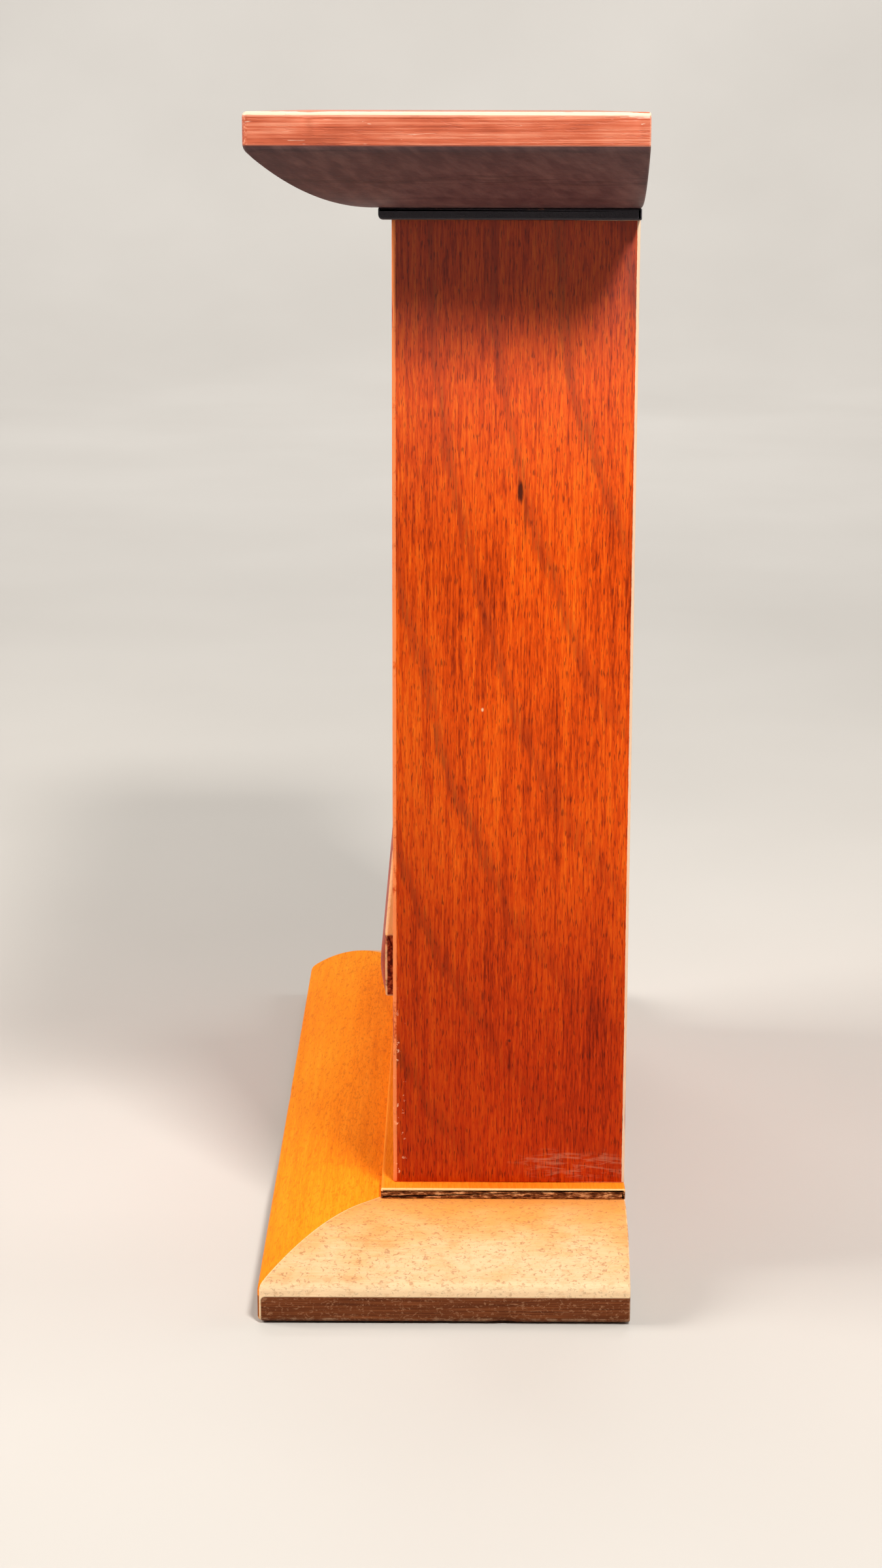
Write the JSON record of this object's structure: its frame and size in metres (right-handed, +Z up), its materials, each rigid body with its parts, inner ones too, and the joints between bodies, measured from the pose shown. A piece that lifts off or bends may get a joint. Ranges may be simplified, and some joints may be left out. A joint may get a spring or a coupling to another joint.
{
  "type": "photo album stand",
  "caption": "Wooden tabletop stand with an open case between a moulded base and cornice, and a low front rail that keeps a photo album upright.",
  "frame": {"origin": "middle of the footprint, on the table under the felt pads", "axes": "+Z up, the open front faces -Y, +X is to the right of someone facing the front"},
  "size_m": [0.287, 0.0966, 0.306],
  "materials": {
    "panel_wood": "orange-red stain under satin lacquer, upright grain",
    "moulding_wood": "orange stain under gloss lacquer, grain along the strip",
    "side_moulding_wood": "pale tan with worn stain and small dark pores",
    "cornice_wood": "red-brown stain, satin, grain along the strip",
    "fillet_wood": "dark stained edge, worn along its upper arris",
    "core_wood": "plain stained board",
    "rail_wood": "orange-red stain, dark end grain",
    "dowel_wood": "bare beech",
    "screw_steel": "bright zinc",
    "screw_brass": "satin brass",
    "pad_felt": "dark green felt"
  },
  "bodies": {
    "root": {"base_core_board": "core_wood", "base_front_moulding": "moulding_wood", "base_left_moulding": "side_moulding_wood", "base_right_moulding": "side_moulding_wood", "base_fillet_board": "fillet_wood", "cornice_core_board": "core_wood", "cornice_front_moulding": "cornice_wood", "cornice_left_moulding": "cornice_wood", "cornice_right_moulding": "cornice_wood", "cornice_fillet_board": "fillet_wood", "left_side_panel": "panel_wood", "right_side_panel": "panel_wood", "back_panel": "panel_wood", "retaining_rail": "rail_wood", "base_moulding_dowels": "dowel_wood", "cornice_moulding_dowels": "dowel_wood", "cornice_panel_dowels": "dowel_wood", "rail_dowels": "dowel_wood", "base_panel_screws": "screw_steel", "back_panel_screws": "screw_brass", "felt_pads": "pad_felt"}
  },
  "joints": []
}
